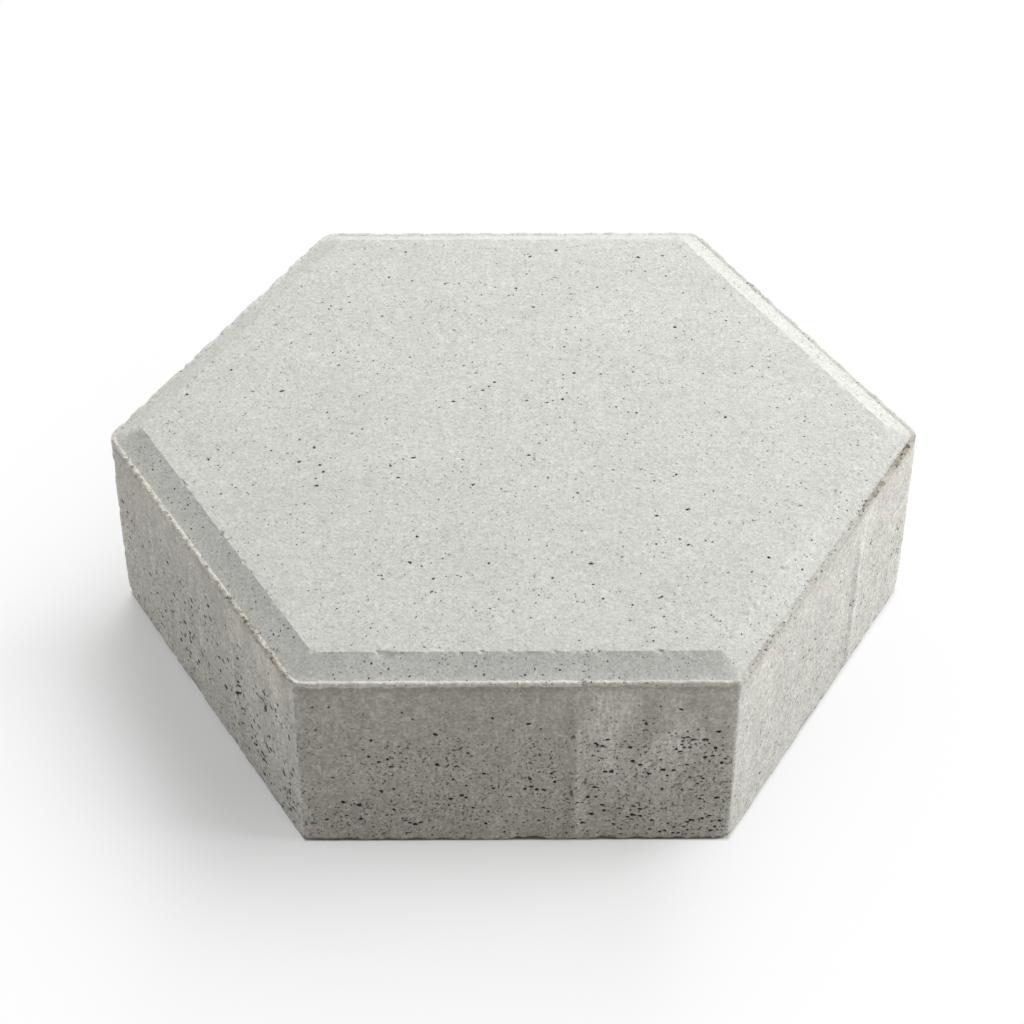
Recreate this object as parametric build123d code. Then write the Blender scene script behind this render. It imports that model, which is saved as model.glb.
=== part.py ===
from build123d import *
import math
import os

# Hexagonal concrete paving stone, pressed in one piece in a steel mould. All lengths are in millimetres.
# The bed is on the floor plane with the origin at its middle, +Z is up, and two of the six walls face +Y and -Y.

# Body
across_flats = 250.0
thickness = 80.0
arris_radius = 1.5
foot_radius = 1.5

# Sloped edge round the top face, slightly hollow, down to a narrow level land along the walls
slope_run = 9.0
slope_drop = 4.6
slope_hollow = 0.2

# Pressed rim: the paste that rises between the tamper and the mould, and stays standing on the land
rim_width = 1.5
rim_height = 0.6
rim_round_share = 0.45
tamper_corner_radius = 6.0

# Spacer ribs, one to a wall, which keep the joint open between laid stones. On the four slanting walls they sit
# further from the middle than on the walls that face +Y and -Y.
rib_width = 7.0
rib_proud = 1.0
rib_from_wall_middle = 20.0
slant_rib_from_wall_middle = 25.0
rib_below_top = 16.0
rib_run_out = 12.0

side_count = 6
turn_deg = 360 / side_count
apothem = across_flats / 2
across_corners = across_flats / math.cos(math.radians(turn_deg / 2))
land_height = thickness - slope_drop
overrun = slope_drop


def rounded_hexagon(inner_radius, corner_radius):
    """A hexagon with two corners on the X axis, given by the distance from its middle to a side."""
    outline = RegularPolygon(inner_radius, side_count, major_radius=False)
    return fillet(outline.vertices(), corner_radius)


def moulded_block():
    """The block as the mould's walls leave it, with the arris round the bed worn soft."""
    block = extrude(rounded_hexagon(apothem, arris_radius), thickness)
    return fillet(block.edges().group_by(Axis.Z)[0], foot_radius)


def tamper_edge():
    """What the tamper's bevelled edge keeps clear above one wall, the one that faces +Y."""
    slope_length = math.hypot(slope_run, slope_drop)
    foot = (apothem - rim_width, land_height)
    crown = (foot[0] - slope_run, thickness)
    middle = (
        (foot[0] + crown[0]) / 2 - slope_hollow * slope_drop / slope_length,
        (foot[1] + crown[1]) / 2 - slope_hollow * slope_run / slope_length,
    )
    slope = ThreePointArc(crown, middle, foot)
    around = Polyline(
        foot,
        (apothem + overrun, land_height),
        (apothem + overrun, thickness + overrun),
        (crown[0], thickness + overrun),
        crown,
    )
    return extrude(Plane.YZ * make_face([slope, around]), across_corners / 2, both=True)


def pressed_rim():
    """A low bead along the top of the walls. On its inside it follows the rounder corners of the tamper."""
    outline = rounded_hexagon(apothem, arris_radius)
    tamper = rounded_hexagon(apothem - rim_width, tamper_corner_radius)
    bead = Pos(0, 0, land_height) * extrude(outline - tamper, rim_height)
    crest = bead.edges().group_by(Axis.Z)[-1]
    return fillet(crest, rim_round_share * min(rim_width, rim_height))


def spacer_rib(from_wall_middle):
    """A turned stick, sunk into the wall that faces -Y until only its round back shows. It runs out upwards."""
    radius = (rib_width**2 / 4 + rib_proud**2) / (2 * rib_proud)
    sunk_radius = radius - rib_proud
    top_height = thickness - rib_below_top
    profile = Polyline(
        (0, foot_radius),
        (sunk_radius, foot_radius),
        (radius, foot_radius + rib_proud),
        (radius, top_height - rib_run_out),
        (sunk_radius, top_height),
        (0, top_height),
        close=True,
    )
    stick = revolve(Plane.XZ * make_face(profile), Axis.Z)
    return Pos(from_wall_middle, sunk_radius - apothem, 0) * stick


stone = moulded_block()
for wall_number in range(side_count):
    stone -= Rot(0, 0, wall_number * turn_deg) * tamper_edge()
stone += pressed_rim()
for wall_number in range(side_count):
    faces_y = wall_number % (side_count // 2) == 0
    rib = spacer_rib(rib_from_wall_middle if faces_y else slant_rib_from_wall_middle)
    stone += Rot(0, 0, wall_number * turn_deg) * rib

os.makedirs("parts", exist_ok=True)
export_step(stone, "parts/paving_stone.step")
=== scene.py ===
import math

import bpy
import numpy as np
from mathutils import Matrix, Vector, noise
from mathutils.geometry import delaunay_2d_cdt


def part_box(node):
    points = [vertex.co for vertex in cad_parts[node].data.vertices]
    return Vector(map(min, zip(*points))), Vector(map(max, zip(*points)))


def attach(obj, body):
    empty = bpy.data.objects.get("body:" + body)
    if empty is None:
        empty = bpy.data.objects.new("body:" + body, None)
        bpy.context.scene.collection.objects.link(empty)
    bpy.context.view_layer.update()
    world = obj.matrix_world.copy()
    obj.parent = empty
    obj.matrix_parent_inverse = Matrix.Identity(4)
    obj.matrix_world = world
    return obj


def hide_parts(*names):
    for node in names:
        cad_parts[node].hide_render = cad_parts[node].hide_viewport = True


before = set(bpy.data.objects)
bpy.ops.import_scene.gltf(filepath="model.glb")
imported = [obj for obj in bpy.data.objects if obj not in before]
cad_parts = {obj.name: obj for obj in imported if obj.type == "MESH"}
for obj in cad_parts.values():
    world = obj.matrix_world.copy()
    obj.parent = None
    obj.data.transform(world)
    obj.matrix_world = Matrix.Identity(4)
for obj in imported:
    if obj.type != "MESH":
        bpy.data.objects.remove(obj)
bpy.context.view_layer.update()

# Paving stone: form
# A hexagonal block of dry concrete, vibrated and pressed in a steel mould and pushed out of it still green.
# The tamper leaves the flat top and the sloped edge, the mould leaves drag marks, pores and spacer ribs.
MM = 0.001
_, stone_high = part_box("paving_stone")
rib_proud = 1.0
thickness = stone_high[2] / MM
apothem = stone_high[1] / MM - rib_proud
wall_count = 6
half_turn = math.pi / wall_count
half_wall = apothem * math.tan(half_turn)
slope_run = 9.0
slope_drop = 4.6
slope_hollow = 0.2
rim_width = 1.5
rim_height = 0.6
foot_radius = 1.5
arris_radius = 1.5


def arc_points(first, second, sag, count):
    """Points of a shallow arc from first to second, bowed by sag to its left-hand side."""
    share = np.linspace(0, 1, count)
    chord = np.subtract(second, first)
    side = np.array((-chord[1], chord[0])) / np.hypot(*chord)
    bow = 4 * sag * share * (1 - share)
    return [tuple(p) for p in np.array(first) + share[:, None] * chord + bow[:, None] * side]


# The stone's outline cut square through a wall, from the crown of the slope down to the bed: inset from the
# wall and height. Rises are heights of the pressed rim above the land that it stands on.
land = thickness - slope_drop
crown = (rim_width + slope_run, thickness)
slope_foot = (rim_width, land)
slope_steps = 12
crest_rise = 0.55
rim_shape = ((1.3, 0.32), (1.0, 0.5), (0.55, crest_rise), (0.2, 0.45), (0.03, 0.15), (0.0, -0.25))
rim_line = [(inset, land + rim_height * rise / crest_rise) for inset, rise in rim_shape]
foot_turns = np.radians((0, 30, 60, 90))
foot_line = [(foot_radius * (1 - math.cos(turn)), foot_radius * (1 - math.sin(turn))) for turn in foot_turns]
outline = np.array(arc_points(crown, slope_foot, slope_hollow, slope_steps + 1) + rim_line + foot_line)
path = np.concatenate(((0,), np.cumsum(np.hypot(*np.diff(outline, axis=0).T))))
path_end = path[-1]
rises = np.clip(outline[:, 1] - land, 0, None) * (np.arange(len(path)) > slope_steps)
# Places on the path along that outline: the end of the slope, the rim's inner flank, its crest and its outer
# edge, the top of the wall, and where the foot starts to round
rim_rows = path[slope_steps:-len(foot_line)]
foot_rows = path[-len(foot_line):]
slope_end, rim_inside, _, rim_crest, _, rim_edge, wall_start = rim_rows
foot_start = foot_rows[0]


def on_outline(along_path):
    """Inset and height on the outline, and the outward and upward parts of its normal there."""
    inset = np.interp(along_path, path, outline[:, 0])
    height = np.interp(along_path, path, outline[:, 1])
    step = 0.25
    before = np.clip(along_path - step, 0, path_end)
    after = np.clip(along_path + step, 0, path_end)
    inward = np.interp(after, path, outline[:, 0]) - np.interp(before, path, outline[:, 0])
    fall = np.interp(before, path, outline[:, 1]) - np.interp(after, path, outline[:, 1])
    length = np.hypot(inward, fall)
    return inset, height, fall / length, -inward / length


# Plan radii of the corners at the crown and at the slope's foot, and what wear adds to the arris under the
# rim and above the bed, each with the height over which it fades
crown_corner, tamper_corner = 2.0, 6.0
rim_wear, rim_wear_fade = 3.5, 3.0
bed_wear, bed_wear_fade = 1.8, 2.5


def corner_radius(along_path, wear):
    """Plan radius of a corner: tight in the middle of the wall, knocked rounder at the rim and at the bed."""
    slope_part = crown_corner + (tamper_corner - crown_corner) * np.clip(along_path / slope_end, 0, 1)
    below_rim = np.exp(-np.clip(along_path - wall_start, 0, None) / rim_wear_fade)
    above_bed = np.exp(-np.clip(path_end - along_path, 0, None) / bed_wear_fade)
    wall_part = arris_radius + wear * (rim_wear * below_rim + bed_wear * above_bed)
    blend = np.clip((along_path - slope_end) / (wall_start - slope_end), 0, 1)
    return slope_part * (1 - blend) + wall_part * blend


def wall_facing(wall):
    """Direction in plan that a wall faces, in radians. Wall 0 faces -Y, and the rest follow anticlockwise."""
    return 2 * half_turn * wall - math.pi / 2


def plan_point(wall, along, inset, radius):
    """Point and outward direction in plan on a line that runs round the stone at an inset from its walls.

    along goes from -half_wall at a wall's left corner to half_wall at its right one, seen from outside."""
    reach = apothem - inset
    straight = (reach - radius) * math.tan(half_turn)
    run = np.abs(along) / half_wall * (straight + radius * half_turn)
    bend = np.clip(run - straight, 0, None) / radius
    side = np.sign(along)
    out = reach - radius + radius * np.cos(bend)
    across = side * (np.minimum(run, straight) + radius * np.sin(bend))
    facing = wall_facing(wall)
    normal = np.stack((np.cos(facing), np.sin(facing)), axis=-1)
    tangent = np.stack((-normal[..., 1], normal[..., 0]), axis=-1)
    point = out[..., None] * normal + across[..., None] * tangent
    outward = np.cos(bend)[..., None] * normal + (side * np.sin(bend))[..., None] * tangent
    return point, outward


# Paving stone: pores
# Trapped air and grains that tore out leave open pores in the pressed concrete. Each of them is a real hollow
# with points of its own, and an uneven net of points fills the ground between them.
random_seed = 7
draw = np.random.default_rng(random_seed)


def lumps(points, size, seed):
    """Smooth random values of about -1 to 1 at points in millimetres, in lumps about as wide as size."""
    shift = Vector((seed * 17.3, seed * 5.1, seed * 11.7))
    return np.array([noise.noise(Vector(p) + shift) for p in np.asarray(points) / size])


def scattered(low, high, spacing):
    """Points on an uneven triangular grid that fills a rectangle."""
    uneven = 0.27
    rise = spacing * math.sqrt(3) / 2
    found = []
    for number, level in enumerate(np.arange(low[1] + rise / 2, high[1], rise)):
        across = np.arange(low[0] + spacing * (0.25 + 0.5 * (number % 2)), high[0], spacing)
        found.append(np.stack((across, np.full(len(across), level)), axis=-1))
    found = np.concatenate(found)
    return found + draw.uniform(-uneven, uneven, found.shape) * spacing


def pore_radii(count, median, spread, smallest, largest):
    """Random radii of pores in millimetres, most of them near the median and a few much larger."""
    return np.clip(draw.lognormal(math.log(median), spread, count), smallest, largest)


class Pores:
    """Open pores in a flat stretch of the stone: irregular mouths, steep sides and a floor."""

    # A mouth is a circle with a few random waves in it. Middling and large pores get more corners.
    wave_count, waviness = 3, 0.7
    middling, large = 0.3, 0.5
    # On the way from a pore's middle, 0, to its mouth, 1: the edge of its floor, the lip where its side
    # starts to fall, the width of that side, and how near other points may come
    floor_edge, lip, side, clear = 0.6, 0.985, 0.36, 1.12
    # How many radii the widest mouth reaches, and a margin in millimetres
    widest, margin = 1.9, 0.3

    def __init__(self, centres, radii, stretch, depth_share):
        count = len(centres)
        self.centres = np.asarray(centres)
        self.radii = np.asarray(radii)
        self.depths = self.radii * depth_share * draw.uniform(0.7, 1.3, count)
        # How dark each pore is painted, as painted shade in it: wider ones darker
        self.shade_strength = np.interp(self.radii, (0.18, 0.42), (0.35, 1.0)) * draw.uniform(0.65, 1.0, count)
        self.stretch = draw.uniform(1, stretch, count)
        self.tilts = draw.normal(0, 0.35, count)
        self.waves = draw.uniform(0, 2 * math.pi, (count, self.wave_count))
        self.swings = draw.uniform(0.05, 0.3, (count, self.wave_count))

    def mouth(self, number, angle):
        """Distance from a pore's middle to its mouth, before it is stretched."""
        ripple = sum(
            self.swings[number, k] * np.cos((k + 2) * angle + self.waves[number, k])
            for k in range(self.wave_count)
        )
        return self.radii[number] * (1 + self.waviness * ripple)

    def turn(self, number, sense):
        """Matrix that turns flat points by a pore's tilt, or back again where sense is -1."""
        tilt = sense * self.tilts[number]
        c, s = math.cos(tilt), math.sin(tilt)
        return np.array(((c, s), (-s, c)))

    def ring(self, number, share, corners):
        """Points round a pore at a share of the way from its middle to its mouth."""
        angle = (np.arange(corners) + draw.uniform(-0.25, 0.25, corners)) * 2 * math.pi / corners
        reach = self.mouth(number, angle) * share
        local = np.stack((reach * np.cos(angle) * self.stretch[number], reach * np.sin(angle)), axis=-1)
        return self.centres[number] + local @ self.turn(number, 1)

    def points(self):
        """Points that draw every pore: a mouth and a middle, and a floor's edge in the larger ones."""
        found = []
        for number, radius in enumerate(self.radii):
            mouth_corners = 5 if radius < self.middling else 7 if radius < self.large else 9
            found.append(self.ring(number, 1.0, mouth_corners))
            if radius >= self.large:
                found.append(self.ring(number, self.floor_edge, corners=6))
            found.append(self.centres[number][None])
        return np.concatenate(found)

    def share_in(self, number, points):
        """How far out points lie in a pore: 0 in its middle and 1 at its mouth."""
        local = (points - self.centres[number]) @ self.turn(number, -1)
        local = local / np.array((self.stretch[number], 1))
        angle = np.arctan2(local[:, 1], local[:, 0])
        return np.hypot(*local.T) / self.mouth(number, angle)

    def near(self, number, points):
        """Which points could lie in or beside a pore."""
        reach = self.radii[number] * self.stretch[number] * self.widest + self.margin
        return np.flatnonzero(np.all(np.abs(points - self.centres[number]) < reach, axis=1))

    def cleared(self, points):
        """The points that lie clear of every mouth."""
        keep = np.ones(len(points), bool)
        for number in range(len(self.radii)):
            close = self.near(number, points)
            keep[close] &= self.share_in(number, points[close]) > self.clear
        return points[keep]

    def depth(self, points):
        """Depth in millimetres at points, and their painted shade, from 0 outside to 1 in the darkest."""
        deep = np.zeros(len(points))
        dark = np.zeros(len(points))
        for number in range(len(self.radii)):
            close = self.near(number, points)
            sunk = np.clip((self.lip - self.share_in(number, points[close])) / self.side, 0, 1)
            deep[close] = np.maximum(deep[close], sunk * self.depths[number])
            dark[close] = np.maximum(dark[close], sunk * self.shade_strength[number])
        return deep, dark


def parted(centres, radii):
    """Which pores to keep so that no two mouths meet. Of two that would, the wider one stays."""
    spare = 1.25
    kept = []
    for number in np.argsort(-radii):
        gap = np.hypot(*(centres[kept] - centres[number]).T)
        if np.all(gap > spare * (radii[kept] + radii[number])):
            kept.append(number)
    return np.array(kept)


def thinned(points):
    """The points with near doubles left out, the first of each kept."""
    cell = 0.1
    _, first = np.unique(np.round(points / cell).astype(int), axis=0, return_index=True)
    return points[np.sort(first)]


def triangles_of(points, rim_count):
    """Triangles between points, of which the first rim_count are the border, in order."""
    inside_only, same_place = 1, 1e-6
    border = [(i, (i + 1) % rim_count) for i in range(rim_count)]
    corners = [Vector(p) for p in points]
    _, _, faces, origins, _, _ = delaunay_2d_cdt(corners, border, [], inside_only, same_place)
    source = [first[0] for first in origins]
    return np.array([[source[i] for i in face] for face in faces])


# Paving stone: walls, slopes and rim
# Each wall is meshed flat, with the slope above it, from one corner's edge to the next. Rows of points follow
# the crown, the rim and the foot, where concrete chips and burrs.
rib_half_width = 3.5
rib_along = np.array((20.0, 25.0, 25.0, 20.0, 25.0, 25.0))
rib_top = thickness - 16.0
rib_run_out = 12.0
# By corner, from the left end of the front wall anticlockwise: how far it is knocked round
corner_wear = np.array((1.05, 0.55, 0.8, 0.95, 0.7, 1.1))
# By wall: how whole the pressed rim still stands, how much of it is torn and brown, how rough it is, pits
# along it and above it, pores below it and their size, how open the grain is between them, how much warm
# tint is painted on it as painted shade, and paste smeared beside the rib
rim_whole = np.array((1.0, 0.2, 0.0, 0.0, 0.3, 1.0))
rim_torn = np.array((0.2, 0.6, 0.15, 0.0, 0.1, 0.35))
rim_rough = np.array((1.0, 2.0, 1.0, 1.0, 1.0, 3.4))
rim_pits = (24, 90, 30, 16, 20, 60)
slope_pits = (130, 70, 50, 50, 60, 150)
wall_pores = (920, 290, 400, 520, 500, 430)
pore_size = (1.12, 0.9, 1.0, 1.0, 1.0, 1.5)
wall_open = np.array((1.0, 0.4, 0.6, 0.8, 0.8, 0.55))
wall_warm_shade = np.array((1.0, 0.0, 0.3, 0.4, 0.4, 0.5))
pasted = np.array((1.0, 0.3, 0.5, 0.6, 0.5, 0.6))
# Some pores stand in nests, most of them to the right of the rib, and a few pits in the rim's notch over it.
tries_for_a_pore = 6
nest_count, nests_by_rib, pores_in_nest = 13, 8, 9
nest_spread = (2.6, 1.2)
notch_middle, notch_pits, notch_spread = 1.2, 3, (0.9, 0.3)

# Rows of points down the outline, close together at the crown, the rim and the foot. Columns of points stand
# beside each corner and across the rib.
slope_row_gap, wall_row_gap = 1.5, 1.4
edge_rows = np.concatenate((
    (0, 0.5, 1.2),
    np.arange(2.6, slope_end - 1.2, slope_row_gap),
    slope_end - np.array((0.8, 0.3)),
    rim_rows,
    wall_start + np.array((0.5, 1.1, 1.9)),
    np.arange(wall_start + 3.0, foot_start - 1.4, wall_row_gap),
    foot_rows,
))
crown_edge_rows = edge_rows[1:3]
rim_edge_rows = edge_rows[(edge_rows > slope_end - 1) & (edge_rows < wall_start + 2.2)]
corner_columns = (0.45, 0.95, 1.8, 3.0)
rib_columns = np.linspace(-4.2, 4.2, 11)
rib_rows = np.linspace(wall_start + 10, foot_start - 0.6, 34)
left_flat = np.stack((np.full(len(edge_rows), -half_wall), edge_rows), axis=-1)
right_flat = left_flat * (-1, 1)


def row(at, spacing, jitter):
    """Points along a row that stays clear of the wall's two ends."""
    uneven = 0.3
    along = np.arange(-half_wall + spacing, half_wall - 0.5 * spacing, spacing)
    along = along + draw.uniform(-uneven, uneven, len(along)) * spacing
    return np.stack((along, np.full(len(along), at) + draw.uniform(-jitter, jitter, len(along))), axis=-1)


band_wall, band_along, band_path, band_pore_depth, band_pore_shade = [], [], [], [], []
band_faces, band_face_flat = [], []
crown_ring, foot_ring = [], []
vertex_count = 0


def add_band(wall, flat, deep, dark):
    """Stores points of a wall's flat sheet and returns their numbers."""
    global vertex_count
    numbers = np.arange(vertex_count, vertex_count + len(flat))
    vertex_count += len(flat)
    band_wall.append(np.full(len(flat), wall))
    band_along.append(flat[:, 0])
    band_path.append(flat[:, 1])
    band_pore_depth.append(deep)
    band_pore_shade.append(dark)
    return numbers


no_depth = np.zeros(len(edge_rows))
left_edges = [add_band(wall, left_flat, no_depth, no_depth) for wall in range(wall_count)]

for wall in range(wall_count):
    # Pores by place: more of them low on the wall, to its right, and in patches
    low, high = (-half_wall + 3, wall_start + 1.2), (half_wall - 3, foot_start - 1.5)
    wall_spots = draw.uniform(low, high, (tries_for_a_pore * wall_pores[wall], 2))
    down_share = (wall_spots[:, 1] - wall_start) / (foot_start - wall_start)
    patchy = lumps(np.column_stack((wall_spots, np.full(len(wall_spots), 50.0 * wall))), size=14.0, seed=3)
    likely = np.interp(down_share, (0, 0.16, 0.4, 0.95, 1), (0.05, 0.1, 0.75, 1, 0.6))
    likely = likely * np.clip(0.55 + 0.9 * patchy, 0.05, 1) * (0.62 + 0.38 * wall_spots[:, 0] / half_wall)
    wall_spots = wall_spots[draw.random(len(wall_spots)) < likely][:wall_pores[wall]]
    wall_radii = pore_size[wall] * pore_radii(
        len(wall_spots), median=0.26, spread=0.42, smallest=0.17, largest=0.62
    )

    low, high = (-half_wall + 12, wall_start + 22), (half_wall - 8, foot_start - 6)
    nests = draw.uniform(low, high, (nest_count, 2))
    nests[:nests_by_rib, 0] = draw.uniform(rib_along[wall] + 4, half_wall - 6, nests_by_rib)
    nest_spots = np.concatenate([nest + draw.normal(0, nest_spread, (pores_in_nest, 2)) for nest in nests])
    nest_radii = pore_size[wall] * pore_radii(
        len(nest_spots), median=0.38, spread=0.36, smallest=0.22, largest=0.66
    )

    low, high = (-half_wall + 9, 1.6), (half_wall - 9, slope_end - 1.0)
    slope_spots = draw.uniform(low, high, (slope_pits[wall], 2))
    slope_radii = pore_radii(len(slope_spots), median=0.235, spread=0.32, smallest=0.17, largest=0.46)

    low, high = (-half_wall + 8, slope_end - 0.6), (half_wall - 8, rim_edge + 0.9)
    rim_spots = draw.uniform(low, high, (rim_pits[wall], 2))
    rim_spots[:notch_pits] = rib_along[wall] + notch_middle, rim_crest
    rim_spots[:notch_pits] += draw.normal(0, notch_spread, (notch_pits, 2))
    rim_radii = draw.uniform(0.2, 0.36, len(rim_spots))

    centres = np.concatenate((wall_spots, nest_spots, slope_spots, rim_spots))
    radii = np.concatenate((wall_radii, nest_radii, slope_radii, rim_radii))
    kept = parted(centres, radii)
    pores = Pores(centres[kept], radii[kept], stretch=1.7, depth_share=1.35)

    # The ground between the pores: columns by the rib and the corners, rows, and a loose net over the rest
    near_rib = np.concatenate([
        np.stack((np.full(len(rib_rows), rib_along[wall] + offset), rib_rows), axis=-1)
        for offset in rib_columns
    ])
    near_rib = near_rib + draw.uniform(-0.15, 0.15, near_rib.shape)
    by_corner = np.concatenate([
        np.stack(
            (side * (half_wall - offset - draw.uniform(0, 0.1, len(edge_rows) - 2)), edge_rows[1:-1]), axis=-1
        )
        for side in (-1, 1)
        for offset in corner_columns
    ])
    rows = np.concatenate(
        [row(at, spacing=1.1, jitter=0.05) for at in crown_edge_rows]
        + [row(slope_end - 1.4, spacing=1.4, jitter=0.1)]
        + [row(at, spacing=0.75, jitter=0.04) for at in rim_edge_rows]
        + [row(at, spacing=1.3, jitter=0.15) for at in (foot_start - 2.0, foot_start - 0.8)]
        + [row(at, spacing=1.3, jitter=0.05) for at in foot_rows[:-1]]
    )
    # The rows end 0.7 mm from the corners, and leave a narrow gap 1.2 mm from them.
    from_end = half_wall - np.abs(rows[:, 0])
    rows = rows[(from_end > 0.7) & (np.abs(from_end - 1.2) > 0.15)]
    ground = np.concatenate((
        scattered((-half_wall + 4.2, 2.2), (half_wall - 4.2, slope_end - 1.9), spacing=2.0),
        scattered((-half_wall + 4.2, wall_start + 3.2), (half_wall - 4.2, foot_start - 2.9), spacing=2.4),
    ))
    ground = ground[(np.abs(ground[:, 0] - rib_along[wall]) > 5.0) | (ground[:, 1] < wall_start + 9)]
    inner = np.concatenate((
        pores.points(),
        pores.cleared(np.concatenate((by_corner, rows, near_rib, ground))),
    ))
    border_gap = 0.3
    inner = inner[
        (np.abs(inner[:, 0]) < half_wall - border_gap)
        & (inner[:, 1] > border_gap)
        & (inner[:, 1] < path_end - border_gap)
    ]
    inner = thinned(inner)

    crown_row = row(0, spacing=1.1, jitter=0)
    foot_row = row(path_end, spacing=1.3, jitter=0)
    sheet = np.concatenate((crown_row, foot_row, inner))
    numbers = add_band(wall, sheet, *pores.depth(sheet))
    crown_numbers, foot_numbers, inner_numbers = np.split(
        numbers, (len(crown_row), len(crown_row) + len(foot_row))
    )
    left, right = left_edges[wall], left_edges[(wall + 1) % wall_count]
    crown_ring.extend((left[0], *crown_numbers))
    foot_ring.extend((left[-1], *foot_numbers))

    border_numbers = np.concatenate((left, foot_numbers, right[::-1], crown_numbers[::-1]))
    border_flat = np.concatenate((left_flat, foot_row, right_flat[::-1], crown_row[::-1]))
    all_numbers = np.concatenate((border_numbers, inner_numbers))
    all_flat = np.concatenate((border_flat, inner)) * (1, -1)
    faces = triangles_of(all_flat, len(border_numbers))
    band_faces.append(all_numbers[faces])
    band_face_flat.append(all_flat[faces])

wall_of = np.concatenate(band_wall)
along = np.concatenate(band_along)
down = np.concatenate(band_path)
pore_depth = np.concatenate(band_pore_depth)
# How dark each point is painted, as painted shade in the pores
pore_shade = np.concatenate(band_pore_shade)


# Paving stone: wear and relief
# Handling knocks the corners and chips the foot of the fresh stone. Paste that the tamper squeezed out stands
# as a ragged burr on the rim and droops down the walls, and the mould rubs the ribs a little lower. The ribs
# also get a painted highlight and painted shade.
def bell(distance, width):
    """1 where the distance is nothing, and less and less to either side."""
    return np.exp(-((distance / width) ** 2))


def chips(points, size, seed, above):
    """Chips about as wide as size, from 0 up, wherever random lumps stand above a level."""
    return np.clip(lumps(points, size, seed) - above, 0, None)


inset, height, outward_part, upward_part = on_outline(down)
nearest_corner = np.where(along < 0, wall_of, wall_of + 1) % wall_count
wear_here = corner_wear[nearest_corner]
plan, outward = plan_point(wall_of, along, inset, corner_radius(down, wear_here))
from_corner = half_wall - np.abs(along)
on_front = wall_of == 0

# The corners of the bed are knocked round, and its edge is chipped where green concrete stuck to the pallet.
knock_depth, knock_width, bed_fade = 1.3, 3.6, 2.1
upright = np.column_stack((plan, height)) * (1, 1, 0.3)
near_bed = np.exp(-height / bed_fade) * (down > wall_start)
knocked = knock_depth * wear_here * bell(from_corner, knock_width) * near_bed
chipped = 2.8 * chips(upright, size=8.0, seed=6, above=0.08)
chipped += 2.4 * chips(upright, size=2.6, seed=14, above=0.12)
# Notches broken out of the front wall's lower edge: place along the wall, width and depth
foot_notches = ((-57, 2.5, 1.2), (0.5, 1.5, 2.4), (20, 1.2, 1.4), (41, 3.0, 1.5))
for notch_along, notch_width, notch_depth in foot_notches:
    chipped = np.maximum(chipped, notch_depth * bell(along - notch_along, notch_width) * on_front)
plan = plan - outward * (knocked + chipped * near_bed)[:, None]
base = np.column_stack((plan, height))
normal = np.column_stack((outward * outward_part[:, None], upward_part))
in_plan = base * (1, 1, 0)
drawn_up = base * (1, 1, 0.35)

# Slow waves and fine unevenness of the faces, in millimetres, and chips of the arrises and the crown
slow_wave, short_wave, wave_sink, fine_wave = 0.1, 0.06, 0.12, 0.05
arris_width, crown_width = 2.2, 0.9
on_wall = np.clip((down - wall_start) / 1.5, 0, 1)
waves = slow_wave * lumps(base, 38.0, seed=1) + short_wave * lumps(base, 9.0, seed=2) - wave_sink
fine = fine_wave * lumps(base, 2.2, seed=4)
arris = bell(from_corner, arris_width)
arris_chips = chips(base, size=3.0, seed=5, above=0.12)
crown_near = np.exp(-down / crown_width)
crown_chips = chips(base, size=2.4, seed=7, above=0.16)
open_grain = np.interp(height, (45, 64), (1, 0)) * on_wall * wall_open[wall_of]

# The spacer rib. Just right of its crest it is painted pale as a painted highlight, and along its left flank
# it is painted dark as painted shade, most of all on the front and back walls.
rib_off = along - rib_along[wall_of]
rib_ends = (foot_radius, foot_radius + 1, rib_top - rib_run_out, rib_top)
rib_shape = np.clip(1 - (rib_off / rib_half_width) ** 2, 0, None)
rib_shape = rib_shape * np.interp(height, rib_ends, (0.3, 1, 1, 0))
rib_light_and_shade = 1.2 * bell(rib_off - 0.5, 1.0) - 0.6 * bell(rib_off + 2.0, 1.1)
rib_light_height = np.interp(height, (4, 10, rib_top - 6, rib_top + 4), (0.4, 1, 1, 0))
rib_light_and_shade = rib_light_and_shade * rib_light_height * on_wall * np.clip(1 + 0.8 * lumps(base, 6.0, seed=15), 0.3, 1.4)
rib_light_and_shade = rib_light_and_shade * np.where(wall_of % 3 == 0, 1.0, 0.4)

# Bare paste is smeared up the wall to the right of the rib, from half height to the rim.
paste = np.clip(0.55 + 1.5 * lumps(drawn_up, 11.0, seed=16) + 0.6 * lumps(drawn_up, 3.5, seed=17), 0, 1)
paste = paste * np.interp(rib_off, (-6, 2, 34, 46), (0, 1, 1, 0.3)) * pasted[wall_of]
paste = paste * np.interp(height, (18, 50, land - 2, land), (0, 1, 1, 0.4)) * on_wall

# The rim: where it still stands, where pieces of it are missing, and its notch over the rib. What the tables
# say of a wall runs over into the next wall near their corner.
run_over = 12
next_wall = (wall_of + np.sign(along).astype(int)) % wall_count
to_next = np.clip(0.5 - from_corner / run_over, 0, 0.5)
whole = rim_whole[wall_of] * (1 - to_next) + rim_whole[next_wall] * to_next
torn_share = rim_torn[wall_of] * (1 - to_next) + rim_torn[next_wall] * to_next
ragged = (lumps(in_plan, 2.0, seed=8) + 0.7 * lumps(in_plan, 0.9, seed=9)) * rim_rough[wall_of]
notched = bell(rib_off - notch_middle, 1.3)
missing = np.clip(2.4 * lumps(in_plan, 6.0, seed=10) + 0.55 - 1.3 * whole, 0, 1)
missing = np.maximum(missing, notched)
standing = np.clip(0.95 + 0.35 * ragged - 0.75 * missing, 0.05, 1.3) * (0.15 + 0.85 * whole)
worn_off = np.interp(down, (slope_end, rim_edge, wall_start, wall_start + 1.1), (0, 1, 0.8, 0)) * (1 - whole)
worn_depth = 0.12
rise_change = np.interp(down, path, rises) * (standing - 1) - worn_depth * worn_off

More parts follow.
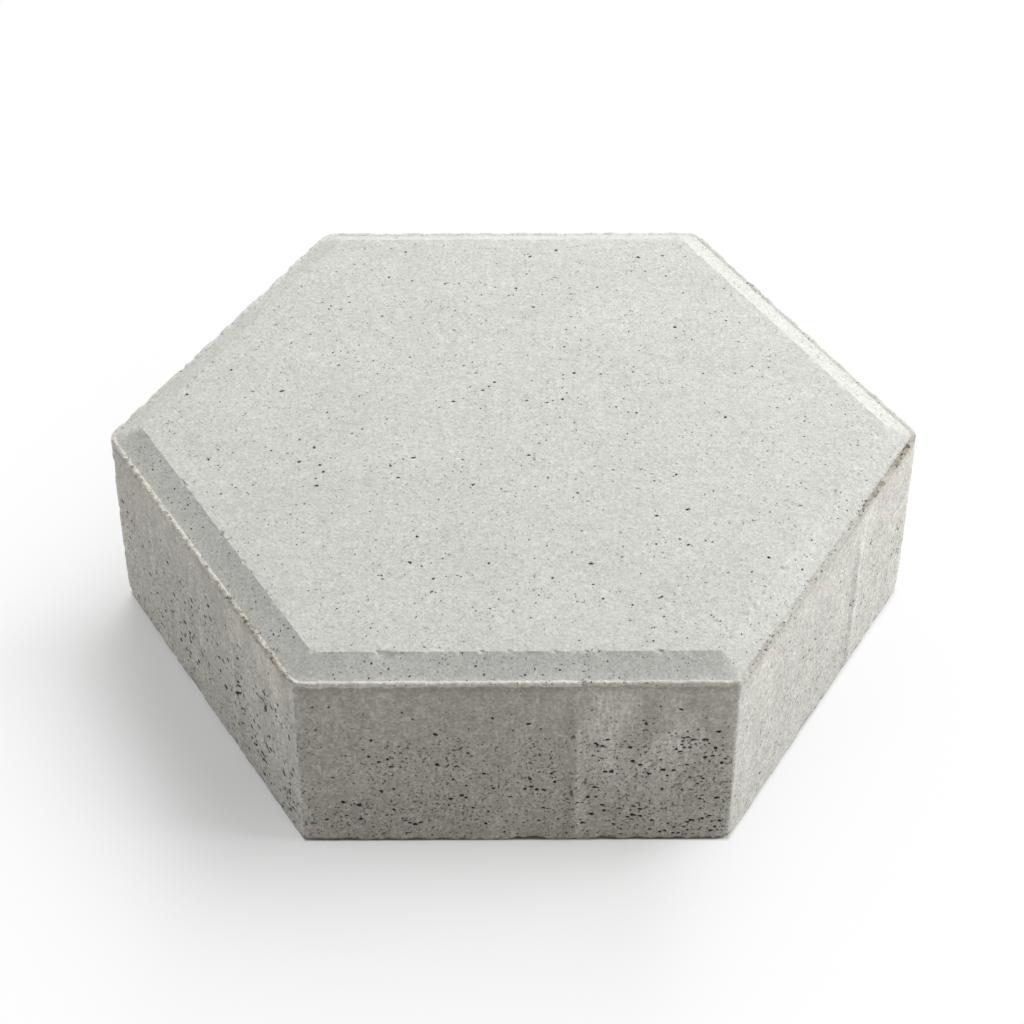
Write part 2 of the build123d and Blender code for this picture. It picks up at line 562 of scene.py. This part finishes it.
# The burr of paste that the tamper squeezed out, and how far it droops down the wall and hangs over it
burr = np.clip(0.58 + 0.22 * ragged - 0.55 * missing, 0, 0.85)
droop = np.clip(1.15 + 1.2 * lumps(in_plan, 5.0, seed=11) + 0.35 * ragged, 0.15, 2.9)
strip = np.interp(down, (slope_end, rim_crest), (0, 1)) * np.clip((droop - (down - rim_edge)) / 0.4, 0, 1)
burr_here = burr * strip * np.clip(from_corner / 4, 0, 1)
burr_out, burr_over = 0.4, 0.6
overhang = burr_over * burr_here * np.interp(down, (slope_end, rim_edge), (0, 1))

# Where the rim is torn, brown sand shows.
on_rim = np.interp(down, (slope_end - 0.1, rim_inside, rim_edge, wall_start + 0.7), (0, 1, 1, 0))
torn_zone = np.interp(down, (slope_end - 0.5, rim_inside, rim_edge, wall_start + 0.8), (0, 1, 1, 0))
torn_share = torn_share * np.interp(rib_off, (-2, 3), (0.6, 1.5))
torn = torn_zone * np.clip(torn_share * (1.0 + 0.3 * ragged + 0.3 * lumps(in_plan, 7.0, seed=18)), 0, 1)
torn = np.maximum(torn, 0.8 * torn_zone * notched * whole)
bare_rim = np.maximum(on_rim, 0.8 * strip) * np.clip(1.05 + 0.2 * ragged - 0.8 * missing, 0, 1) * whole
# The lowest part of each wall, at the foot, is painted dark as painted shade where the stone meets the floor.
foot_shade = 0.3 * np.clip((1.8 + 1.2 * lumps(in_plan, 3.0, seed=19) - height) / 0.8, 0, 1)

# All of it together, in millimetres out of the face. The rib stands a little less proud than it was moulded.
rib_worn = 0.15
relief = (
    waves * (0.4 + 0.6 * on_wall) + fine
    - arris * (0.1 + 0.8 * arris_chips) * on_wall
    - crown_near * 2.0 * crown_chips
    + rib_shape * (rib_proud - rib_worn) * on_wall
    + burr_out * burr_here
    - pore_depth
)
# Dents knocked into the crown of the front slope, mostly near its left end: place along the wall and down the
# slope, and size
crown_dents = ((-57, 0.4, 1.3), (-46.5, 0.8, 2.0), (-43.5, 1.6, 1.5), (-24, 0.2, 1.0))
dent_depth = 0.35
for dent_along, dent_down, dent_size in crown_dents:
    dent = ((along - dent_along) ** 2 + (down - dent_down) ** 2) / dent_size**2
    relief -= dent_depth * dent_size * np.exp(-dent) * on_front
# Nothing stands out at the corners, so that the stone keeps its width.
corner_zone, corner_sink = 4.0, 0.02
relief = np.where(from_corner < corner_zone, np.minimum(relief, -corner_sink), relief)
band_points = base + normal * relief[:, None]
band_points[:, :2] += outward * overhang[:, None]
band_points[:, 2] += rise_change
band_points[:, 2] = np.clip(band_points[:, 2], 0, thickness)


# Paving stone: top and bed
# The tamper's steel shoe leaves the top flat but open-grained, with pores where sand grains tore out. The bed
# is the coarser face that stood on the pallet.
cap_sink = 0.09
# A hexagon's corners lie less than this many times as far from its middle as its sides do.
corner_share = 1.2


def within_walls(points, reach):
    """Which points in plan lie less than reach from the middle towards every wall."""
    facing = wall_facing(np.arange(wall_count))
    return np.all(points @ np.array((np.cos(facing), np.sin(facing))) < reach, axis=1)


def spots_in_hexagon(count, reach, half_width, margin):
    """Random places in a hexagon, clear of its sides: those of count places in a rectangle that lie in it."""
    spots = draw.uniform((-half_width, -reach), (half_width, reach), (count, 2))
    return spots[within_walls(spots, reach - margin)]


def cap(ring, spacing, pores, level, side, extra):
    """A flat face inside a ring of stored points: new points, their painted pore shade, triangles and flat
    layout.
    """
    border = base[ring][:, :2]
    reach = np.abs(border[:, 1]).max()
    ring_gap = 0.7
    ground = scattered((-corner_share * reach, -reach), (corner_share * reach, reach), spacing)
    inner = np.concatenate((pores.points(), pores.cleared(np.concatenate((extra, ground)))))
    inner = thinned(inner[within_walls(inner, reach - ring_gap)])
    deep, dark = pores.depth(inner)
    flat = np.concatenate((border, inner))
    faces = triangles_of(flat, len(ring))
    raised = np.column_stack((inner, np.full(len(inner), level)))
    ripple = 0.05 * lumps(raised, 40.0, seed=12) + 0.03 * lumps(raised, 6.0, seed=13) - cap_sink
    raised[:, 2] += side * (ripple - deep)
    return raised, dark, faces, flat


# Two rows of points on the top run along the crown: their distance from it and the spacing in them.
crown_reach = apothem - crown[0]
beside_crown = []
for wall in range(wall_count):
    for step, spacing in ((0.75, 1.2), (1.7, 1.6)):
        beside = row(0, spacing, jitter=0)[:, 0]
        ones = np.ones(len(beside))
        placed, _ = plan_point(wall * ones, beside, (crown[0] + step) * ones, crown_corner * ones)
        beside_crown.append(placed)
beside_crown = np.concatenate(beside_crown)
top_spots = spots_in_hexagon(count=2500, reach=crown_reach, half_width=1.16 * crown_reach, margin=2.2)
top_radii = pore_radii(len(top_spots), median=0.23, spread=0.38, smallest=0.14, largest=0.62)
top_pores = Pores(top_spots, top_radii, stretch=1.6, depth_share=1.4)
top_points, top_pore_shade, top_faces, top_flat = cap(
    np.array(crown_ring), spacing=2.6, pores=top_pores, level=thickness, side=1, extra=beside_crown
)

bed_reach = apothem - foot_radius
bed_spots = spots_in_hexagon(count=260, reach=bed_reach, half_width=1.1 * bed_reach, margin=4.0)
bed_radii = pore_radii(len(bed_spots), median=0.8, spread=0.4, smallest=0.5, largest=2.2)
bed_pores = Pores(bed_spots, bed_radii, stretch=1.6, depth_share=1.1)
bed_points, bed_pore_shade, bed_faces, bed_flat = cap(
    np.array(foot_ring), spacing=6.0, pores=bed_pores, level=0.0, side=-1, extra=np.zeros((0, 2))
)
bed_points[:, 2] = np.clip(bed_points[:, 2] - cap_sink, 0, None)

top_numbers = np.concatenate((crown_ring, vertex_count + np.arange(len(top_points))))
bed_numbers = np.concatenate((foot_ring, vertex_count + len(top_points) + np.arange(len(bed_points))))
triangles = np.concatenate(band_faces + [top_numbers[top_faces], bed_numbers[bed_faces][:, ::-1]])
used, triangles = np.unique(triangles, return_inverse=True)
triangles = triangles.reshape(-1, 3)
points = np.concatenate((band_points, top_points, bed_points))[used]

# Flat layout of the faces, in millimetres: the walls two by two, the top above them and the bed beside.
gap = 2
sheet_width, sheet_height = 2 * half_wall + 2 * gap, path_end + 2 * gap
layout_side = 3 * sheet_height + 2 * crown_reach + 4 * gap
bed_share = 0.85
layout = []
for wall, flat in enumerate(band_face_flat):
    across, upward = wall % 2, wall // 2
    layout.append(flat + (half_wall + gap + across * sheet_width, gap + path_end + upward * sheet_height))
top_middle = (half_wall * 2, 3 * sheet_height + crown_reach + 2 * gap)
layout.append(top_flat[top_faces] + top_middle)
bed_middle = (4 * half_wall + 6 * gap + bed_reach * bed_share, bed_share * bed_reach * corner_share + 2 * gap)
bed_turned = bed_flat[:, ::-1] * bed_share
layout.append(bed_turned[bed_faces][:, ::-1] + bed_middle)
layout = np.concatenate(layout).reshape(-1, 2) / layout_side


def whole_stone(walls, top, bed):
    """Joins the walls' values with those of the top and the bed, each one number or one for every point."""
    return np.concatenate((
        walls, np.broadcast_to(top, len(top_points)), np.broadcast_to(bed, len(bed_points))
    ))


stone_mesh = bpy.data.meshes.new("paving_stone_pressed")
stone_mesh.from_pydata((points * MM).tolist(), [], triangles.tolist())
stone_mesh.uv_layers.new(name="OFBake").data.foreach_set("uv", layout.ravel())
marks = {
    # How dark pores and the lowest part of the walls are painted, as painted shade
    "pore": whole_stone(np.maximum(pore_shade, foot_shade), top_pore_shade, bed_pore_shade),
    "wall": whole_stone(on_wall, 0, 1),
    "rim": whole_stone(bare_rim, 0, 0),
    "torn": whole_stone(torn, 0, 0),
    "paste": whole_stone(paste, 0, 0),
    "open": whole_stone(open_grain, 0, 1),
    # A warm tint painted on the shaded walls, as painted shade
    "warm_shade": whole_stone(on_wall * wall_warm_shade[wall_of], 0, 0.5),
    # The rib's painted highlight and painted shade
    "rib": whole_stone(rib_light_and_shade, 0, 0),
    "arris": whole_stone(np.maximum(arris * on_wall, crown_near * 0.5), 0, 0),
}
for name, values in marks.items():
    stored = stone_mesh.attributes.new(name, "FLOAT", "POINT")
    stored.data.foreach_set("value", values[used].astype(np.float32))
# Edges that bend sharply stay sharp to the eye, and so does the crown all round.
sharp_bend = math.radians(38)
stone_mesh.set_sharp_from_angle(angle=sharp_bend)
on_crown = np.isin(used, crown_ring)
edge_ends = np.zeros(2 * len(stone_mesh.edges), np.int32)
stone_mesh.edges.foreach_get("vertices", edge_ends)
sharp = np.zeros(len(stone_mesh.edges), bool)
stone_mesh.edges.foreach_get("use_edge_sharp", sharp)
stone_mesh.edges.foreach_set("use_edge_sharp", sharp | on_crown[edge_ends.reshape(-1, 2)].all(axis=1))
stone_mesh.validate()
stone = bpy.data.objects.new("paving_stone_pressed", stone_mesh)
scene = bpy.context.scene
scene.collection.objects.link(stone)
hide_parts("paving_stone")
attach(stone, "root")


# Pressed concrete
# Grey cement paste and sand. The eye sees pale matt grains, dark open pores, soft mottling, drag marks that
# run up the walls, and a cream line of bare paste on the rim.
def linear(hex_colour):
    """A linear colour from an sRGB hex value."""
    parts = [int(hex_colour[i:i + 2], 16) / 255 for i in (1, 3, 5)]
    return tuple(c / 12.92 if c <= 0.04045 else ((c + 0.055) / 1.055) ** 2.4 for c in parts) + (1.0,)


def add(tree, kind, inputs, **settings):
    """Adds a node with its settings, and gives its inputs values or links."""
    made = tree.nodes.new(kind)
    for name, value in settings.items():
        setattr(made, name, value)
    for name, value in inputs.items():
        if isinstance(value, bpy.types.NodeSocket):
            tree.links.new(value, made.inputs[name])
        else:
            made.inputs[name].default_value = value
    return made


concrete = bpy.data.materials.new("vibro-pressed concrete")
concrete.use_nodes = True
tree = concrete.node_tree
shader = tree.nodes["Principled BSDF"]
place = add(tree, "ShaderNodeTexCoord", {}).outputs["Object"]
drag_stretch = (1, 1, 0.22)
dragged = add(tree, "ShaderNodeVectorMath", {0: place, 1: drag_stretch}, operation="MULTIPLY").outputs[0]
height_here = add(tree, "ShaderNodeSeparateXYZ", {0: place}).outputs["Z"]
here = {name: add(tree, "ShaderNodeAttribute", {}, attribute_name=name).outputs["Fac"] for name in marks}
drag_on_wall = 0.35
drag_here = add(
    tree, "ShaderNodeMath", {0: here["wall"], 1: drag_on_wall, 2: here["paste"]}, operation="MULTIPLY_ADD"
).outputs[0]

# What the surface shows: where it is laid, its real size in millimetres, and its noise's detail, roughness
# and distortion
noises = {
    "mottle": (place, 26.0, 3.0, 0.5, 0.0),
    "cloud": (place, 4.0, 2.0, 0.5, 0.0),
    "sand": (place, 1.1, 4.0, 0.78, 0.0),
    "drag": (dragged, 1.2, 3.0, 0.65, 0.0),
    "smear": (dragged, 11.0, 4.0, 0.62, 0.4),
    "speck": (place, 1.3, 2.0, 0.6, 0.0),
    "patch": (place, 10.0, 1.0, 0.5, 0.0),
}
pattern = {}
for name, (laid, size, detail, roughness, distortion) in noises.items():
    settings = {
        "Vector": laid,
        "Scale": 1 / (size * MM),
        "Detail": detail,
        "Roughness": roughness,
        "Distortion": distortion,
    }
    pattern[name] = add(tree, "ShaderNodeTexNoise", settings).outputs["Fac"]
grain_size = 0.8
grain = add(tree, "ShaderNodeTexVoronoi", {"Vector": place, "Scale": 1 / (grain_size * MM)}).outputs["Color"]
pattern["grain"] = add(tree, "ShaderNodeSeparateColor", {0: grain}).outputs[0]

# How far each pattern shifts the tone either way, and where it does so if not all over
tone_shifts = (
    ("mottle", 0.16, None),
    ("cloud", 0.22, None),
    ("sand", 0.85, None),
    ("grain", 0.16, None),
    ("drag", 0.9, drag_here),
    ("cloud", 0.22, here["wall"]),
    ("sand", 0.85, here["wall"]),
)
# How strongly the rib's painted highlight and painted shade change the tone
rib_light_tone = 0.2
tone = 1.0
for name, swing, where in tone_shifts:
    if where is not None:
        swing = add(tree, "ShaderNodeMath", {0: where, 1: swing}, operation="MULTIPLY").outputs[0]
    centred = add(tree, "ShaderNodeMath", {0: pattern[name], 1: 0.5}, operation="SUBTRACT").outputs[0]
    shift = add(tree, "ShaderNodeMath", {0: centred, 1: swing, 2: 1.0}, operation="MULTIPLY_ADD").outputs[0]
    tone = add(tree, "ShaderNodeMath", {0: tone, 1: shift}, operation="MULTIPLY").outputs[0]
shift = add(
    tree, "ShaderNodeMath", {0: here["rib"], 1: rib_light_tone, 2: 1.0}, operation="MULTIPLY_ADD"
).outputs[0]
tone = add(tree, "ShaderNodeMath", {0: tone, 1: shift}, operation="MULTIPLY").outputs[0]

# The walls are warmer than the top, and a warm tint is painted on the shaded walls as painted shade. Bare
# paste is smeared up them in paler strokes, and just under the rim they are painted darker and browner as
# painted shade under its overhang. Arrises, the crown and the rim are paler, and where the rim is torn it is
# brown.
smear_share = add(
    tree, "ShaderNodeMapRange",
    {"Value": pattern["smear"], "From Min": 0.52, "From Max": 0.64, "To Max": 0.35},
).outputs[0]
smear_share = add(
    tree, "ShaderNodeMath", {0: here["paste"], 1: 1.0, 2: smear_share},
    operation="MULTIPLY_ADD", use_clamp=True,
).outputs[0]
# Painted shade just under the rim: the walls turn darker and browner there, in clouds
under_rim_shade_start, under_rim_shade_full = (land - 4.5) * MM, (land - 1.0) * MM
below_rim = add(
    tree, "ShaderNodeMapRange", {"Value": height_here, "From Min": under_rim_shade_start, "From Max": under_rim_shade_full}
).outputs[0]
under_rim_shade = add(tree, "ShaderNodeMath", {0: below_rim, 1: pattern["cloud"]}, operation="MULTIPLY").outputs[0]
# How much paler the arrises and the crown are painted
arris_pale = 0.35
pale_edge_share = add(tree, "ShaderNodeMath", {0: here["arris"], 1: arris_pale}, operation="MULTIPLY").outputs[0]
top_grey, wall_grey = linear("#dbdbd5"), linear("#cdccc5")
# The first of these tints is painted on the shaded walls as warm painted shade, the last under the rim
warm_shade_tint, bare_paste, under_rim_shade_tint = linear("#c9c5ba"), linear("#e6e2d8"), linear("#97897a")
pale_arris_tint, cream_rim, torn_rim = linear("#e2e0d8"), linear("#edeae1"), linear("#b0a899")
# Dark brown painted into pores as painted shade
pore_shade_tint = linear("#3b3731")
wall_colour = wall_grey
for share, tint in ((here["warm_shade"], warm_shade_tint), (smear_share, bare_paste), (under_rim_shade, under_rim_shade_tint)):
    mixed = {"Fac": share, "Color1": wall_colour, "Color2": tint}
    wall_colour = add(tree, "ShaderNodeMixRGB", mixed).outputs[0]
colour = top_grey
face_tints = (
    (here["wall"], wall_colour),
    (pale_edge_share, pale_arris_tint),
    (here["rim"], cream_rim),
    (here["torn"], torn_rim),
)
for share, tint in face_tints:
    colour = add(tree, "ShaderNodeMixRGB", {"Fac": share, "Color1": colour, "Color2": tint}).outputs[0]
colour = add(tree, "ShaderNodeVectorMath", {0: colour, "Scale": tone}, operation="SCALE").outputs[0]

# Small open pores: a few on the top, many low on the walls, fewer where the walls were smoothed under the
# rim. A speck shows where its noise rises above a level, and that is lower in open grain, in patches and on
# a torn rim. Pores, specks and the lowest part of the walls are painted dark brown, as painted shade.
closed_level, open_level = 0.78, 0.70
speck_start = add(
    tree, "ShaderNodeMapRange", {"Value": here["open"], "To Min": closed_level, "To Max": open_level}
).outputs[0]
for mark, shift in ((pattern["patch"], -0.18), (here["torn"], -0.15)):
    speck_start = add(
        tree, "ShaderNodeMath", {0: mark, 1: shift, 2: speck_start}, operation="MULTIPLY_ADD"
    ).outputs[0]
above = add(tree, "ShaderNodeMath", {0: pattern["speck"], 1: speck_start}, operation="SUBTRACT").outputs[0]
speck_share = add(tree, "ShaderNodeMapRange", {"Value": above, "From Max": 0.04, "To Max": 0.8}).outputs[0]
pit = add(tree, "ShaderNodeMapRange", {"Value": here["pore"], "From Min": 0.04, "From Max": 0.32}).outputs[0]
pit = add(tree, "ShaderNodeMath", {0: pit, 1: speck_share}, operation="MAXIMUM").outputs[0]
# How dark the painted shade gets in the darkest pits
deepest_pit_shade = 0.92
pit_shade = add(tree, "ShaderNodeMath", {0: pit, 1: deepest_pit_shade}, operation="MULTIPLY").outputs[0]
colour = add(tree, "ShaderNodeMixRGB", {"Fac": pit_shade, "Color1": colour, "Color2": pore_shade_tint}).outputs[0]
tree.links.new(colour, shader.inputs["Base Color"])
shader.inputs["Roughness"].default_value = 0.92

# Relief of the patterns in millimetres, and where it is if not all over
raised_patterns = (
    (pattern["sand"], 0.28, None),
    (pattern["drag"], 0.25, drag_here),
    (speck_share, -0.25, None),
)
relief_here = 0.0
for raising, depth, where in raised_patterns:
    if where is not None:
        depth = add(tree, "ShaderNodeMath", {0: where, 1: depth}, operation="MULTIPLY").outputs[0]
    relief_here = add(
        tree, "ShaderNodeMath", {0: raising, 1: depth, 2: relief_here}, operation="MULTIPLY_ADD"
    ).outputs[0]
bumped = add(tree, "ShaderNodeBump", {"Height": relief_here, "Distance": MM}).outputs[0]
tree.links.new(bumped, shader.inputs["Normal"])
stone_mesh.materials.append(concrete)

# Studio floor
# A seamless sheet of matt white board under the stone. It catches the soft shadow.
floor_size = 8.0
half_floor = floor_size / 2
floor_corners = [(x * half_floor, y * half_floor, 0) for x, y in ((-1, -1), (1, -1), (1, 1), (-1, 1))]
floor_mesh = bpy.data.meshes.new("studio_floor")
floor_mesh.from_pydata(floor_corners, [], [(0, 1, 2, 3)])
floor = bpy.data.objects.new("studio_floor", floor_mesh)
scene.collection.objects.link(floor)
board = bpy.data.materials.new("matt white board")
board.use_nodes = True
tree = board.node_tree
matt = tree.nodes["Principled BSDF"]
matt.inputs["Base Color"].default_value = linear("#eaeaea")
matt.inputs["Roughness"].default_value = 0.95
floor_place = add(tree, "ShaderNodeTexCoord", {}).outputs["Object"]
# By wall: how strong the stone's soft shade is on the board beside it, and over how many millimetres it
# fades. Strengths are worked with as logarithms, so that a fade is a straight line.
wall_shades = ((0.62, 48), (0.2, 20), (0.03, 45), (0.03, 30), (0.6, 22), (1.6, 30))
deepest_shade = 0.7
shade_softness = 0.8
shade = math.log(deepest_shade)
nearest = 0.0
for wall, (strength, fade) in enumerate(wall_shades):
    facing = (math.cos(wall_facing(wall)), math.sin(wall_facing(wall)), 0)
    reach = add(
        tree, "ShaderNodeVectorMath", {0: floor_place, 1: facing}, operation="DOT_PRODUCT"
    ).outputs["Value"]
    wall_shade = add(
        tree, "ShaderNodeMath", {0: reach, 1: -1 / (fade * MM), 2: apothem / fade + math.log(strength)},
        operation="MULTIPLY_ADD",
    ).outputs[0]
    shade = add(
        tree, "ShaderNodeMath", {0: shade, 1: wall_shade, 2: shade_softness}, operation="SMOOTH_MIN"
    ).outputs[0]
    nearest = add(tree, "ShaderNodeMath", {0: nearest, 1: reach}, operation="MAXIMUM").outputs[0]
# The dark line where the stone meets the board
contact_fade = 0.9
contact_line = apothem - 1.0
contact = add(
    tree, "ShaderNodeMath", {0: nearest, 1: -1 / (contact_fade * MM), 2: contact_line / contact_fade},
    operation="MULTIPLY_ADD",
).outputs[0]
shade = add(tree, "ShaderNodeMath", {0: shade, 1: contact}, operation="MAXIMUM").outputs[0]
shade = add(tree, "ShaderNodeMath", {0: shade}, operation="EXPONENT", use_clamp=True).outputs[0]
unshaded = add(tree, "ShaderNodeMath", {0: 1.0, 1: shade}, operation="SUBTRACT").outputs[0]


def seen_or_mirrored(tree):
    """1 for a ray from the camera and for one that gloss or glass sends on, and 0 for any other."""
    ray = add(tree, "ShaderNodeLightPath", {}).outputs
    seen = ray["Is Camera Ray"]
    for kind in ("Is Glossy Ray", "Is Transmission Ray"):
        seen = add(tree, "ShaderNodeMath", {0: seen, 1: ray[kind]}, operation="MAXIMUM").outputs[0]
    return seen


white_share = add(
    tree, "ShaderNodeMath", {0: unshaded, 1: seen_or_mirrored(tree)}, operation="MULTIPLY"
).outputs[0]
white = add(tree, "ShaderNodeEmission", {"Color": linear("#ffffff"), "Strength": 1.0}).outputs[0]
board_surface = add(tree, "ShaderNodeMixShader", {0: white_share, 1: matt.outputs[0], 2: white}).outputs[0]
tree.links.new(board_surface, tree.nodes["Material Output"].inputs["Surface"])
floor_mesh.materials.append(board)

# Studio light
# Three large soft boxes: one to the right, one behind, and a weak low one to the left. A dim even surround
# fills what they leave.
box_side = 0.9
box_distance = 1.4
# A low box stands high enough to keep its lower edge off the floor.
lowest_box = 0.46
aim = Vector((0, 0, 0.05))
# Name, direction and height in degrees, and power in watts
soft_boxes = (("right", 0, 34, 14.8), ("behind", 90, 38, 11.8), ("low_left", 180, 15, 4.2))
for name, turn_deg, lift_deg, watts in soft_boxes:
    lamp = bpy.data.lights.new(name, "AREA")
    lamp.shape = "SQUARE"
    lamp.size = box_side
    lamp.energy = watts
    turn, lift = math.radians(turn_deg), math.radians(lift_deg)
    towards = Vector((math.cos(turn) * math.cos(lift), math.sin(turn) * math.cos(lift), math.sin(lift)))
    stand = box_distance * towards
    stand.z = max(stand.z, lowest_box * math.cos(lift))
    holder = bpy.data.objects.new(name, lamp)
    turned = (stand - aim).to_track_quat("Z", "Y").to_matrix().to_4x4()
    holder.matrix_world = Matrix.Translation(stand) @ turned
    scene.collection.objects.link(holder)
surround = bpy.data.worlds.new("surround")
scene.world = surround
surround.use_nodes = True
tree = surround.node_tree
background = tree.nodes["Background"]
background.inputs["Color"].default_value = linear("#ffffff")
surround_fill, surround_seen = 0.185, 1.0
surround_strength = add(
    tree, "ShaderNodeMapRange",
    {"Value": seen_or_mirrored(tree), "To Min": surround_fill, "To Max": surround_seen},
).outputs[0]
tree.links.new(surround_strength, background.inputs["Strength"])

# Camera
# Above and in front of the stone at the photograph's angle, with a short telephoto lens.
camera_turn, camera_lift, camera_roll = math.radians(-0.5417), math.radians(41.2270), math.radians(0.1491)
camera_distance = 1.01186
camera_target = Vector((-0.00014, 0.04493, 0))
back = Vector((
    math.sin(camera_turn) * math.cos(camera_lift),
    -math.cos(camera_turn) * math.cos(camera_lift),
    math.sin(camera_lift),
))
right = Vector((math.cos(camera_turn), math.sin(camera_turn), 0))
up = back.cross(right)
turned_right = math.cos(camera_roll) * right + math.sin(camera_roll) * up
turned_up = math.cos(camera_roll) * up - math.sin(camera_roll) * right
lens = bpy.data.cameras.new("camera")
lens.sensor_width = 36.0
lens.lens = 91.48
camera = bpy.data.objects.new("camera", lens)
camera.matrix_world = Matrix.Translation(camera_target + camera_distance * back) @ Matrix(
    (turned_right, turned_up, back)
).transposed().to_4x4()
scene.collection.objects.link(camera)
scene.camera = camera
scene.view_settings.view_transform = "Standard"
